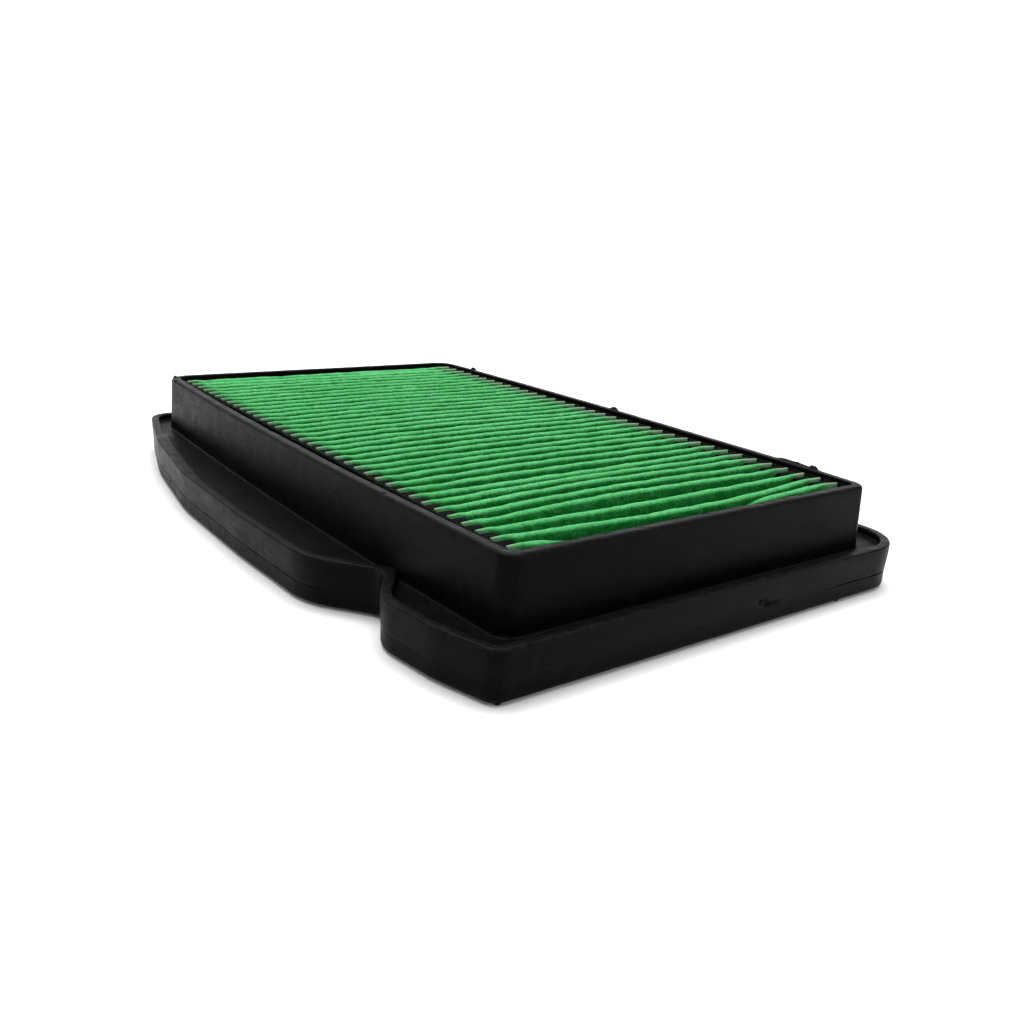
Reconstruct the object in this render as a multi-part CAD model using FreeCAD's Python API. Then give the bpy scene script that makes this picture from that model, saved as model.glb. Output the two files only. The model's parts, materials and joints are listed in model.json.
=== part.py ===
import FreeCAD, Part
import os
from math import atan2, cos, hypot, pi, sin, tan

# Panel air filter element of a scooter: a moulded box full of pleated media
# that stands on a wide flange with a raised lip round it.
# Axes: X across the box (along the pleats), Y along the box, Z up out of the
# dirty side. The origin is under the middle of the flange, on the plane that
# the feet stand on. The datum lines below are measured from the inner edge of
# the left pleat ends (X) and the front of the box (Y), and moved by DX, DY.

V = FreeCAD.Vector
DX, DY = -47.707, -95.0

# ---- driving dimensions, mm ------------------------------------------------
FOOT_H = 0.6            # four small pips under the flange
Z_SKIRT = 0.6           # bottom of the lower frame
Z_SEAM = 4.4            # weld line between the lower and the upper frame
Z_FLOOR = 9.6           # floor of the tray round the box
Z_LIP = 11.4            # top of the lip
Z_RIM = 25.6            # top of the box wall
TRAY_T = 2.2            # thickness of the tray floor
SKIRT_T = 2.3           # thickness of the flange's outer wall
SEAM_STEP = 0.25        # the lower frame is this much smaller all round

BOX_X0, BOX_X1 = -4.3, 104.3    # outer faces of the box at the rim
BOX_Y0, BOX_Y1 = -1.2, 188.2
BOX_R = 4.0             # corner radius of the box at the front
BOX_RB = 7.0            # and at the back
BOW = 2.0               # the long walls bow out this much at mid length
DRAFT = 0.045           # the outer faces spread this much per mm going down
WALL_T = 2.6            # box wall thickness at the rim

PLEATS = 36
PITCH = 5.0
FIRST_CREST = 5.0       # Y of the first crest
MEDIA_X0, MEDIA_X1 = 0.0, 100.0
MEDIA_T = 0.8           # thickness of the nonwoven sheet
FOLD_W = 1.2            # width of the flat at each fold
Z_CREST = 25.2          # outside of the crests
Z_ROOT = 6.2            # outside of the roots

COMB_T = 1.3            # backing strip of the pleat-end combs
TOOTH_L = 6.5           # length of the teeth along X
TOOTH_GAP = 0.12

GRID_T = 1.0            # support grid: border thickness, and rib depth
GRID_Z1 = 5.95
RIB_H, RIB_W = 3.2, 1.8

NIB_H = 0.8             # moulding nibs left on the rim

# ---- helpers ----------------------------------------------------------------
def P(x, y, z=0.0):
    return V(x + DX, y + DY, z)


def rounded(points, z):
    """Closed wire through polygon corners (x, y, radius), each rounded by a tangent arc."""
    n = len(points)
    cut = []
    for i in range(n):
        x0, y0, _ = points[i - 1]
        x1, y1, r = points[i]
        x2, y2, _ = points[(i + 1) % n]
        ax, ay = x0 - x1, y0 - y1
        bx, by = x2 - x1, y2 - y1
        la, lb = hypot(ax, ay), hypot(bx, by)
        ax, ay, bx, by = ax / la, ay / la, bx / lb, by / lb
        half = 0.5 * abs(atan2(ax * by - ay * bx, ax * bx + ay * by))
        t = r / tan(half)
        mx, my = ax + bx, ay + by
        lm = hypot(mx, my)
        d = r / sin(half) - r
        a = (x1 + ax * t, y1 + ay * t)
        b = (x1 + bx * t, y1 + by * t)
        m = (x1 + mx / lm * d, y1 + my / lm * d)
        cut.append((a, m, b))
    edges = []
    for i in range(n):
        a, m, b = cut[i]
        nxt = cut[(i + 1) % n][0]
        edges.append(Part.Arc(P(*a, z), P(*m, z), P(*b, z)).toShape())
        if hypot(nxt[0] - b[0], nxt[1] - b[1]) > 1e-4:
            edges.append(Part.LineSegment(P(*b, z), P(*nxt, z)).toShape())
    return Part.Wire(edges)


def box_wire(z, grow, dr=0.0):
    """The box outline moved out by grow, with its long sides bowed; dr is added to the corner radii."""
    r, q = BOX_R + dr, BOX_RB + dr
    x0, x1 = BOX_X0 - grow, BOX_X1 + grow
    y0, y1 = BOX_Y0 - grow, BOX_Y1 + grow
    k, kb = r * (1 - cos(pi / 4)), q * (1 - cos(pi / 4))
    ym = 0.5 * (y0 + y1)
    e = [
        Part.LineSegment(P(x0 + r, y0, z), P(x1 - r, y0, z)).toShape(),
        Part.Arc(P(x1 - r, y0, z), P(x1 - k, y0 + k, z), P(x1, y0 + r, z)).toShape(),
        Part.Arc(P(x1, y0 + r, z), P(x1 + BOW, ym, z), P(x1, y1 - q, z)).toShape(),
        Part.Arc(P(x1, y1 - q, z), P(x1 - kb, y1 - kb, z), P(x1 - q, y1, z)).toShape(),
        Part.LineSegment(P(x1 - q, y1, z), P(x0 + q, y1, z)).toShape(),
        Part.Arc(P(x0 + q, y1, z), P(x0 + kb, y1 - kb, z), P(x0, y1 - q, z)).toShape(),
        Part.Arc(P(x0, y1 - q, z), P(x0 - BOW, ym, z), P(x0, y0 + r, z)).toShape(),
        Part.Arc(P(x0, y0 + r, z), P(x0 + k, y0 + k, z), P(x0 + r, y0, z)).toShape(),
    ]
    return Part.Wire(e)


def prism(wire, height):
    return Part.Face(wire).extrude(V(0, 0, height))


def slab(x0, x1, y0, y1, z0, z1):
    return Part.makeBox(x1 - x0, y1 - y0, z1 - z0, P(x0, y0, z0))


def profile(yz, x0, x1):
    """A closed polygon in Y and Z, extruded along X."""
    pts = [P(x0, y, z) for y, z in yz]
    return Part.Face(Part.makePolygon(pts + [pts[0]])).extrude(V(x1 - x0, 0, 0))


def save(shape, name):
    if shape.ShapeType != "Solid" and len(shape.Solids) == 1:
        shape = shape.Solids[0]
    print(name, shape.ShapeType, len(shape.Solids), "valid", shape.isValid(), "mm3", round(shape.Volume))
    shape.exportStep("parts/%s.step" % name)


os.makedirs("parts", exist_ok=True)

# ---- the flange in plan -----------------------------------------------------
# Going round from the front left corner, anticlockwise seen from above: the
# front edge, the right side, the back, the bulged left side, the waist that
# cuts in to the box wall, and the small front left wing.
OUTLINE = [
    (-10.2, -7.6, 3.6),
    (116.6, -7.6, 13.0),
    (116.6, 150.0, 60.0),
    (109.5, 197.6, 10.0),
    (-7.0, 197.6, 8.0),
    (-15.9, 162.0, 90.0),
    (-21.0, 124.0, 110.0),
    (-21.2, 84.0, 110.0),
    (-19.8, 50.4, 7.0),
    (-8.0, 35.3, 3.5),
    (-16.3, 23.6, 4.5),
    (-14.4, 7.0, 16.0),
]
INLINE = [
    (-8.6, -5.3, 2.2),
    (114.3, -5.3, 10.7),
    (114.3, 149.6, 58.0),
    (107.5, 195.3, 8.0),
    (-5.3, 195.3, 6.0),
    (-12.1, 168.8, 6.0),
    (-10.9, 165.4, 3.0),
    (-13.3, 154.0, 30.0),
    (-18.5, 116.0, 60.0),
    (-19.0, 84.0, 110.0),
    (-17.5, 51.2, 5.0),
    (-5.0, 35.2, 1.5),
    (-13.8, 22.9, 2.6),
    (-12.2, 7.4, 14.0),
]

h_up = Z_RIM - Z_SEAM
outer_box = Part.makeLoft(
    [box_wire(Z_SEAM, DRAFT * h_up, 0.6), box_wire(Z_RIM, 0.0)], True, True
)
inner_box = prism(box_wire(Z_SEAM - 1, -WALL_T, 0.4 - WALL_T), h_up + 2)

# ---- upper frame: box walls, tray floor and lip in one moulding --------------
tray = prism(rounded(OUTLINE, Z_SEAM), Z_LIP - Z_SEAM)
tray = tray.cut(prism(rounded(INLINE, Z_FLOOR), Z_LIP - Z_FLOOR + 1))
# the tray is hollow underneath, between its outer wall and the box wall
under = prism(rounded(INLINE, Z_SEAM - 1), Z_FLOOR - TRAY_T - Z_SEAM + 1)
tray = tray.cut(under)
upper = tray.fuse(outer_box).cut(inner_box).removeSplitter()
# nibs left by the mould on the top of the rim
nibs = [
    (104.1, 169.0, 0.9, 1.6),
    (105.6, 92.0, 0.9, 2.2),
    (103.6, 13.5, 0.9, 1.8),
    (104.0, 22.5, 0.7, 6.5),
    (-2.6, 184.5, 1.2, 1.2),
]
for nx, ny, wx, wy in nibs:
    upper = upper.fuse(slab(nx - wx / 2, nx + wx / 2, ny - wy / 2, ny + wy / 2, Z_RIM - 0.5, Z_RIM + NIB_H))
save(upper.removeSplitter(), "upper_frame")

# ---- lower frame: skirt, seal channel and the rim of the clean-side window ----
def moved_in(points, d):
    """The polygon's corners, each moved inwards by d from both of its sides."""
    n, out = len(points), []
    for i in range(n):
        x0, y0, _ = points[i - 1]
        x1, y1, r = points[i]
        x2, y2, _ = points[(i + 1) % n]
        ax, ay = x1 - x0, y1 - y0
        bx, by = x2 - x1, y2 - y1
        la, lb = hypot(ax, ay), hypot(bx, by)
        na, nb = (-ay / la, ax / la), (-by / lb, bx / lb)
        c = 1 + na[0] * nb[0] + na[1] * nb[1]
        out.append((x1 + d * (na[0] + nb[0]) / c, y1 + d * (na[1] + nb[1]) / c,
                    max(0.5, r + (-d if (ax * by - ay * bx) > 0 else d))))
    return out


WIN_X0, WIN_X1, WIN_Y0, WIN_Y1 = 1.0, 99.0, 4.0, 183.0
RING_W = 2.0
PLATE_Z = 2.8
skirt = moved_in(OUTLINE, SEAM_STEP)
lower = prism(rounded(skirt, Z_SKIRT), Z_SEAM - Z_SKIRT)
window = rounded([(WIN_X0, WIN_Y0, 4), (WIN_X1, WIN_Y0, 4), (WIN_X1, WIN_Y1, 4), (WIN_X0, WIN_Y1, 4)], -1)
lower = lower.cut(prism(window, 10))
channel = prism(rounded(moved_in(OUTLINE, SEAM_STEP + SKIRT_T), -1), PLATE_Z + 1)
ring = prism(rounded([(WIN_X0 - RING_W, WIN_Y0 - RING_W, 6), (WIN_X1 + RING_W, WIN_Y0 - RING_W, 6),
                      (WIN_X1 + RING_W, WIN_Y1 + RING_W, 6), (WIN_X0 - RING_W, WIN_Y1 + RING_W, 6)], -2), 10)
lower = lower.cut(channel.cut(ring))
# two feet stand under the front wall, two in the channel at the back
FEET_FRONT = [(-8.2, -5.95), (90.5, -6.05)]
FEET = [(109.0, 187.0), (-5.6, 190.6)]
for fx, fy in FEET:
    lower = lower.fuse(Part.makeCylinder(1.1, PLATE_Z, P(fx, fy, 0.0)))
for fx, fy in FEET_FRONT:
    lower = lower.fuse(Part.makeCylinder(0.75, Z_SKIRT + 0.4, P(fx, fy, 0.0)))
save(lower.removeSplitter(), "lower_frame")

# ---- gasket in the channel of the lower frame ---------------------------------
GAP = 0.3
gasket = prism(rounded(moved_in(OUTLINE, SEAM_STEP + SKIRT_T + GAP), 0.9), PLATE_Z - 0.9)
g_in = rounded([(WIN_X0 - RING_W - GAP, WIN_Y0 - RING_W - GAP, 6.3), (WIN_X1 + RING_W + GAP, WIN_Y0 - RING_W - GAP, 6.3),
                (WIN_X1 + RING_W + GAP, WIN_Y1 + RING_W + GAP, 6.3), (WIN_X0 - RING_W - GAP, WIN_Y1 + RING_W + GAP, 6.3)], -2)
gasket = gasket.cut(prism(g_in, 10))
for fx, fy in FEET:
    gasket = gasket.cut(Part.makeCylinder(1.6, 10, P(fx, fy, -2)))
save(gasket, "perimeter_gasket")

# ---- support grid on the clean side --------------------------------------------
IN_X0, IN_X1 = BOX_X0 + WALL_T, BOX_X1 - WALL_T
IN_Y0, IN_Y1 = BOX_Y0 + WALL_T, BOX_Y1 - WALL_T
gx0, gx1, gy0, gy1 = IN_X0 + 0.3, IN_X1 - 0.3, IN_Y0 + 0.3, IN_Y1 - 0.3
grid = prism(rounded([(gx0, gy0, 1.6), (gx1, gy0, 1.6), (gx1, gy1, 4.5), (gx0, gy1, 4.5)], Z_SEAM), GRID_Z1 - Z_SEAM)
grid = grid.cut(slab(WIN_X0 + 1.5, WIN_X1 - 1.5, WIN_Y0 + 1.5, WIN_Y1 - 1.5, 0, 10))
rib_z = GRID_Z1 - RIB_H
xm = 0.5 * (WIN_X0 + WIN_X1)
ribs = [slab(xm - RIB_W / 2, xm + RIB_W / 2, WIN_Y0 + 0.2, WIN_Y1 - 0.2, rib_z, GRID_Z1)]
for k in (1, 2, 3):
    y = WIN_Y0 + k * (WIN_Y1 - WIN_Y0) / 4
    ribs.append(slab(WIN_X0 + 0.2, WIN_X1 - 0.2, y - RIB_W / 2, y + RIB_W / 2, rib_z, GRID_Z1))
for r in ribs:
    grid = grid.fuse(r)
save(grid.removeSplitter(), "support_grid")

# ---- pleated media ---------------------------------------------------------------
half_t = MEDIA_T / 2
zc, zr = Z_CREST - half_t, Z_ROOT + half_t
line = [(FIRST_CREST - PITCH / 2, zr)]
for i in range(PLEATS):
    yc = FIRST_CREST + i * PITCH
    if i:
        line.append((yc - PITCH / 2 + FOLD_W / 2, zr))
    line += [(yc - FOLD_W / 2, zc), (yc + FOLD_W / 2, zc)]
    line.append((yc + PITCH / 2 - (FOLD_W / 2 if i < PLEATS - 1 else 0), zr))


def offset_line(pts, d):
    out = []
    for i, (y, z) in enumerate(pts):
        dirs = []
        if i:
            y0, z0 = pts[i - 1]
            dirs.append((y - y0, z - z0))
        if i < len(pts) - 1:
            y1, z1 = pts[i + 1]
            dirs.append((y1 - y, z1 - z))
        ns = []
        for a, b in dirs:
            l = hypot(a, b)
            ns.append((-b / l, a / l))
        if len(ns) == 1:
            ns = ns * 2
        c = 1 + ns[0][0] * ns[1][0] + ns[0][1] * ns[1][1]
        out.append((y + d * (ns[0][0] + ns[1][0]) / c, z + d * (ns[0][1] + ns[1][1]) / c))
    return out


media = profile(offset_line(line, half_t) + offset_line(line, -half_t)[::-1], MEDIA_X0, MEDIA_X1)
save(media, "pleated_media")

# ---- combs that hold the pleat ends apart ------------------------------------------
def tooth_half(z):
    """Half the free width between two flanks at height z, less the clearance."""
    return 0.5 * FOLD_W + (PITCH / 2 - FOLD_W) * (z - zr) / (zc - zr) - half_t * 1.01 - TOOTH_GAP


COMB_Z0, COMB_Z1 = GRID_Z1 + 0.05, 24.95
TOOTH_Z0 = 11.0
Y_COMB0, Y_COMB1 = IN_Y0 + 0.5, IN_Y1 - 3.0
for name, xs, x_tip, x_back in (
    ("left_comb", MEDIA_X0 - 0.05, MEDIA_X0 + TOOTH_L, MEDIA_X0 - 0.05 - COMB_T),
    ("right_comb", MEDIA_X1 + 0.05, MEDIA_X1 - TOOTH_L, MEDIA_X1 + 0.05 + COMB_T),
):
    comb = slab(min(xs, x_back), max(xs, x_back), Y_COMB0, Y_COMB1, COMB_Z0, COMB_Z1)
    teeth = []
    for i in range(PLEATS - 1):
        y = FIRST_CREST + (i + 0.5) * PITCH
        a, b = tooth_half(TOOTH_Z0), tooth_half(COMB_Z1 - 0.25)
        teeth.append(profile([(y - a, TOOTH_Z0), (y + a, TOOTH_Z0), (y + b, COMB_Z1 - 0.25), (y - b, COMB_Z1 - 0.25)],
                             min(xs, x_tip), max(xs, x_tip)))
    comb = comb.multiFuse(teeth).removeSplitter()
    save(comb, name)

# ---- beads that bond the combs and the end folds to the box walls -------------------
room = prism(box_wire(COMB_Z0, -WALL_T, 0.4 - WALL_T), 23.6 - COMB_Z0)
left = room.common(slab(-8, MEDIA_X0 - 0.05 - COMB_T, Y_COMB0 + 0.5, Y_COMB1 - 0.5, COMB_Z0, 23.6))
right = room.common(slab(MEDIA_X1 + 0.05 + COMB_T, 110, Y_COMB0 + 0.5, Y_COMB1 - 0.5, COMB_Z0, 23.6))
save(left, "left_edge_seal")
save(right, "right_edge_seal")

slope = (PITCH / 2 - FOLD_W / 2) / (zc - zr)
def flank(z):
    return (z - zr) * slope


y_a = FIRST_CREST - PITCH / 2
front = profile([(IN_Y0, COMB_Z0), (y_a - 0.6, COMB_Z0), (y_a - 0.6 + flank(21.5), 21.5), (IN_Y0, 21.5)], MEDIA_X0 + 0.3, MEDIA_X1 - 0.3)
save(front, "front_end_seal")
y_b = FIRST_CREST + (PLEATS - 1) * PITCH + PITCH / 2
back = profile([(IN_Y1, COMB_Z0), (y_b + 0.6, COMB_Z0), (y_b + 0.6 - flank(21.0), 21.0), (IN_Y1, 19.0)], MEDIA_X0 + 3.5, MEDIA_X1 - 3.5)
save(back, "back_end_seal")
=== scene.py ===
import bpy
import bmesh
import json
import math
import numpy as np
from mathutils import Matrix, Vector
from mathutils.geometry import delaunay_2d_cdt

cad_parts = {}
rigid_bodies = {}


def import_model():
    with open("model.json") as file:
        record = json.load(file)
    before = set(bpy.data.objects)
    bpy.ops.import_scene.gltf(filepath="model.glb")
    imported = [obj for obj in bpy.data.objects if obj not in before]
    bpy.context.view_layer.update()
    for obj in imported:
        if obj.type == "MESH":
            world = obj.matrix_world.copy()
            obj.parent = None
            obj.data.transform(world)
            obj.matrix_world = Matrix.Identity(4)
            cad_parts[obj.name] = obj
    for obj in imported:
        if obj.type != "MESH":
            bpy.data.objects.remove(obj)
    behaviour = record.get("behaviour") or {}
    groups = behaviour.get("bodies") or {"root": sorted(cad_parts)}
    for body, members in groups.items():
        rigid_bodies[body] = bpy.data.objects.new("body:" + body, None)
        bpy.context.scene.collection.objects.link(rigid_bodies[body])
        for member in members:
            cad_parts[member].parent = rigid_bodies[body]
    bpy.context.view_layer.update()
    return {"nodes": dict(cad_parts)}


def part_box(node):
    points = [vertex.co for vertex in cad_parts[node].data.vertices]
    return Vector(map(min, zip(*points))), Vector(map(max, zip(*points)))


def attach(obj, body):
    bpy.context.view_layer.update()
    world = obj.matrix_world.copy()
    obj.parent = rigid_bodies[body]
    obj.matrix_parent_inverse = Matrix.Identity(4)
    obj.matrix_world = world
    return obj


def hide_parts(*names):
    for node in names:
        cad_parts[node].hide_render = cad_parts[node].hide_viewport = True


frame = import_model()
rng = np.random.default_rng(11)

# ---------------------------------------------------------------- the frame's datum
# Lines below are in mm from the left pleat ends (X) and the front of the box (Y).
MED = [v * 1000 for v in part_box("pleated_media")]
UPP = [v * 1000 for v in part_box("upper_frame")]
LOW = [v * 1000 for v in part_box("lower_frame")]
GAS = [v * 1000 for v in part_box("perimeter_gasket")]
COM = [v * 1000 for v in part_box("left_comb")]
SEA = [v * 1000 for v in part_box("left_edge_seal")]
OX = MED[0].x
OY = UPP[1].y - 197.6
Z_FOOT, Z_SKIRT = LOW[0].z, LOW[0].z + 0.6
Z_SEAM = UPP[0].z
Z_TOP = UPP[1].z            # top of the nibs
Z_RIM = Z_TOP - 0.8
Z_LIP, Z_FLOOR = Z_SEAM + 7.0, Z_SEAM + 5.2
Z_CREST, Z_ROOT = MED[1].z, MED[0].z
WALL_T, DRAFT = 2.6, 0.045

OUTLINE = [(-10.2, -7.6, 3.6), (116.6, -7.6, 13.0), (116.6, 150.0, 60.0), (109.5, 197.6, 10.0),
           (-7.0, 197.6, 8.0), (-15.9, 162.0, 90.0), (-21.0, 124.0, 110.0), (-21.2, 84.0, 110.0),
           (-19.8, 50.4, 18.0), (-8.0, 35.3, 5.0), (-16.3, 23.6, 12.0), (-14.4, 7.0, 22.0)]
INLINE = [(-8.6, -5.3, 2.2), (114.3, -5.3, 10.7), (114.3, 149.6, 58.0), (107.5, 195.3, 8.0),
          (-5.3, 195.3, 6.0), (-12.1, 168.8, 6.0), (-10.9, 165.4, 3.0), (-13.3, 154.0, 30.0),
          (-18.5, 116.0, 60.0), (-19.0, 84.0, 110.0), (-17.5, 51.2, 15.5), (-5.0, 35.2, 2.4),
          (-13.8, 22.9, 9.5), (-12.2, 7.4, 20.0)]


# ---------------------------------------------------------------- plan curves
def moved_in(points, d):
    n, out = len(points), []
    for i in range(n):
        x0, y0, _ = points[i - 1]
        x1, y1, r = points[i]
        x2, y2, _ = points[(i + 1) % n]
        ax, ay, bx, by = x1 - x0, y1 - y0, x2 - x1, y2 - y1
        la, lb = math.hypot(ax, ay), math.hypot(bx, by)
        na, nb = (-ay / la, ax / la), (-by / lb, bx / lb)
        c = 1 + na[0] * nb[0] + na[1] * nb[1]
        out.append((x1 + d * (na[0] + nb[0]) / c, y1 + d * (na[1] + nb[1]) / c,
                    max(0.5, r + (-d if (ax * by - ay * bx) > 0 else d))))
    return out


def rounded(points, step=0.8):
    """Dense closed loop through polygon corners (x, y, radius), each rounded by a tangent arc."""
    n, loop = len(points), []
    cut = []
    for i in range(n):
        p0, p1, p2 = (np.array(points[j % n][:2]) for j in (i - 1, i, i + 1))
        r = points[i][2]
        a, b = p0 - p1, p2 - p1
        a, b = a / np.linalg.norm(a), b / np.linalg.norm(b)
        half = 0.5 * abs(math.atan2(a[0] * b[1] - a[1] * b[0], a @ b))
        t = r / math.tan(half)
        m = (a + b) / np.linalg.norm(a + b)
        c = p1 + m * r / math.sin(half)
        cut.append((p1 + a * t, p1 + b * t, c, r))
    for i in range(n):
        s, e, c, r = cut[i]
        a0, a1 = math.atan2(*(s - c)[::-1]), math.atan2(*(e - c)[::-1])
        da = (a1 - a0 + math.pi) % (2 * math.pi) - math.pi
        k = max(6, int(abs(da) * r / step))
        for j in range(k):
            q = a0 + da * j / k
            loop.append(c + r * np.array((math.cos(q), math.sin(q))))
        nx = cut[(i + 1) % n][0]
        d = np.linalg.norm(nx - e)
        k = max(1, int(d / step))
        loop += [e + (nx - e) * j / k for j in range(k)]
    loop = np.array(loop)
    keep = np.linalg.norm(loop - np.roll(loop, 1, 0), axis=1) > 0.02
    return loop[keep]


def arc3(p, q, r, k):
    """k points from p up to but not including r on the arc through p, q and r."""
    (ax, ay), (bx, by), (cx, cy) = p, q, r
    d = 2 * (ax * (by - cy) + bx * (cy - ay) + cx * (ay - by))
    ux = ((ax * ax + ay * ay) * (by - cy) + (bx * bx + by * by) * (cy - ay) + (cx * cx + cy * cy) * (ay - by)) / d
    uy = ((ax * ax + ay * ay) * (cx - bx) + (bx * bx + by * by) * (ax - cx) + (cx * cx + cy * cy) * (bx - ax)) / d
    rad = math.hypot(ax - ux, ay - uy)
    a0, a1 = math.atan2(ay - uy, ax - ux), math.atan2(cy - uy, cx - ux)
    da = (a1 - a0 + math.pi) % (2 * math.pi) - math.pi
    return [(ux + rad * math.cos(a0 + da * j / k), uy + rad * math.sin(a0 + da * j / k)) for j in range(k)]


def box_loop(grow):
    """The box outline moved out by grow; always the same number of points."""
    dr = 0.63 * grow if grow > 0 else 0.85 * grow
    r, q, bow = 4.0 + dr, 7.0 + dr, 2.0
    x0, x1, y0, y1 = -4.3 - grow, 104.3 + grow, -1.2 - grow, 188.2 + grow
    k, kb = r * (1 - math.cos(math.pi / 4)), q * (1 - math.cos(math.pi / 4))
    ym = 0.5 * (y0 + y1)
    pts = [(x0 + r + (x1 - x0 - 2 * r) * j / 140, y0) for j in range(140)]
    pts += arc3((x1 - r, y0), (x1 - k, y0 + k), (x1, y0 + r), 12)
    pts += arc3((x1, y0 + r), (x1 + bow, ym), (x1, y1 - q), 250)
    pts += arc3((x1, y1 - q), (x1 - kb, y1 - kb), (x1 - q, y1), 14)
    pts += [(x1 - q + (x0 + q - x1 + q) * j / 130, y1) for j in range(130)]
    pts += arc3((x0 + q, y1), (x0 + kb, y1 - kb), (x0, y1 - q), 14)
    pts += arc3((x0, y1 - q), (x0 - bow, ym), (x0, y0 + r), 250)
    pts += arc3((x0, y0 + r), (x0 + k, y0 + k), (x0 + r, y0), 12)
    return np.array(pts)


def normals_of(loop):
    t = np.roll(loop, -1, 0) - np.roll(loop, 1, 0)
    t /= np.linalg.norm(t, axis=1)[:, None]
    return np.stack([t[:, 1], -t[:, 0]], 1)       # outwards for an anticlockwise loop


def inside(pts, loop):
    x, y = pts[:, 0][:, None], pts[:, 1][:, None]
    x1, y1 = loop[:, 0][None], loop[:, 1][None]
    x2, y2 = np.roll(loop[:, 0], -1)[None], np.roll(loop[:, 1], -1)[None]
    hit = ((y1 > y) != (y2 > y)) & (x < (x2 - x1) * (y - y1) / np.where(y2 == y1, 1e-12, y2 - y1) + x1)
    return hit.sum(1) % 2 == 1


def keep_out(pts, loop, gap):
    """Points that come inside the loop are moved to stand gap outside it."""
    a, b = loop, np.roll(loop, -1, 0)
    d = b - a
    t = np.clip(((pts[:, None] - a[None]) * d[None]).sum(2) / (d * d).sum(1)[None], 0, 1)
    near = a[None] + t[:, :, None] * d[None]
    dist = np.linalg.norm(pts[:, None] - near, axis=2)
    j = dist.argmin(1)
    k = np.arange(len(pts))
    nrm = np.stack([d[j, 1], -d[j, 0]], 1)
    nrm /= np.linalg.norm(nrm, axis=1)[:, None]
    bad = inside(pts, loop) | (dist[k, j] < gap)
    out = pts.copy()
    out[bad] = near[k, j][bad] + nrm[bad] * gap
    return out


def waves(p, lengths, seed):
    """Smooth unevenness, about -1 to 1: sums of plane waves of the given lengths in mm."""
    g = np.random.default_rng(seed)
    v = np.zeros(len(p))
    for length in lengths:
        for _ in range(3):
            k = g.normal(size=p.shape[1])
            k = k / np.linalg.norm(k) * 2 * math.pi / length
            v += np.sin(p @ k + g.uniform(0, 6.28))
    return v / (3 * len(lengths)) ** 0.5 * 0.8


def smooth(a, b, x):
    t = np.clip((x - a) / (b - a), 0, 1)
    return t * t * (3 - 2 * t)


def bump_at(p, centre, size):
    """1 at centre falling smoothly to 0 at size (a number per axis, in mm)."""
    q = np.sqrt((((p - np.array(centre)) / np.array(size)) ** 2).sum(1))
    return np.where(q < 1, 0.5 + 0.5 * np.cos(np.pi * np.clip(q, 0, 1)), 0.0)


class Mesh:
    """Rings of points joined by quads, and flat faces filled between loops. In mm from the datum lines."""

    def __init__(self):
        self.v, self.f, self.edge = [], [], []
        self.n = 0

    def ring(self, xy, z, edge=0.0):
        z = np.broadcast_to(np.asarray(z, float), (len(xy),))
        ids = np.arange(self.n, self.n + len(xy))
        self.v.append(np.column_stack([xy, z]))
        self.edge.append(np.full(len(xy), edge))
        self.n += len(xy)
        return ids

    def quads(self, a, b):
        n = len(a)
        for i in range(n):
            j = (i + 1) % n
            self.f.append((a[i], a[j], b[j], b[i]))

    def stack(self, rings):
        for a, b in zip(rings, rings[1:]):
            self.quads(a, b)
        return rings

    def fill(self, outer, holes=()):
        allv = np.concatenate(self.v)
        loops = [outer, *holes]
        idx = np.concatenate(loops)
        xy = allv[idx][:, :2]
        edges, k = [], 0
        for lp in loops:
            m = len(lp)
            edges += [(k + i, k + (i + 1) % m) for i in range(m)]
            k += m
        vs, _, fs, ov, _, _ = delaunay_2d_cdt([Vector(p) for p in xy], edges, [], 0, 1e-7, True)
        vs = np.array([(p[0], p[1]) for p in vs])
        back = []
        for i, o in enumerate(ov):
            if o:
                back.append(idx[o[0]])
            else:
                back.append(int(self.ring(vs[i:i + 1], allv[outer[0]][2])[0]))
        tri = np.array([f for f in fs if len(f) == 3])
        c = vs[tri].mean(1)
        ok = inside(c, allv[outer][:, :2])
        for h in holes:
            ok &= ~inside(c, allv[h][:, :2])
        for t in tri[ok]:
            self.f.append(tuple(int(back[i]) for i in t))

    def cap(self, ring):
        self.f.append(tuple(int(i) for i in ring))

    def build(self, name, wobble=None):
        co = np.concatenate(self.v)
        if wobble is not None:
            co = wobble(co)
        co = co + np.array([OX, OY, 0.0])
        me = bpy.data.meshes.new(name)
        me.from_pydata((co / 1000).tolist(), [], self.f)
        att = me.attributes.new("wear", "FLOAT", "POINT")
        att.data.foreach_set("value", np.concatenate(self.edge).astype(np.float32))
        ob = bpy.data.objects.new(name, me)
        bpy.context.scene.collection.objects.link(ob)
        tidy(ob)
        return ob


def tidy(ob, weld=1e-6, hard=True):
    bm = bmesh.new()
    bm.from_mesh(ob.data)
    bmesh.ops.remove_doubles(bm, verts=bm.verts, dist=weld)
    bmesh.ops.recalc_face_normals(bm, faces=bm.faces)
    bm.to_mesh(ob.data)
    bm.free()
    for p in ob.data.polygons:
        p.use_smooth = True
    if hard:
        w = ob.modifiers.new("weighted", "WEIGHTED_NORMAL")
        w.mode, w.weight, w.keep_sharp = "FACE_AREA", 60, False


def place(ob, node, mat):
    ob.data.materials.clear()
    ob.data.materials.append(mat)
    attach(ob, "root")
    if node:
        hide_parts(node)
    return ob


# ---------------------------------------------------------------- materials
def new_mat(name):
    m = bpy.data.materials.new(name)
    m.use_nodes = True
    nt = m.node_tree
    nt.nodes.clear()
    out = nt.nodes.new("ShaderNodeOutputMaterial")
    sh = nt.nodes.new("ShaderNodeBsdfPrincipled")
    nt.links.new(sh.outputs[0], out.inputs[0])
    return m, nt, sh


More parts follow.
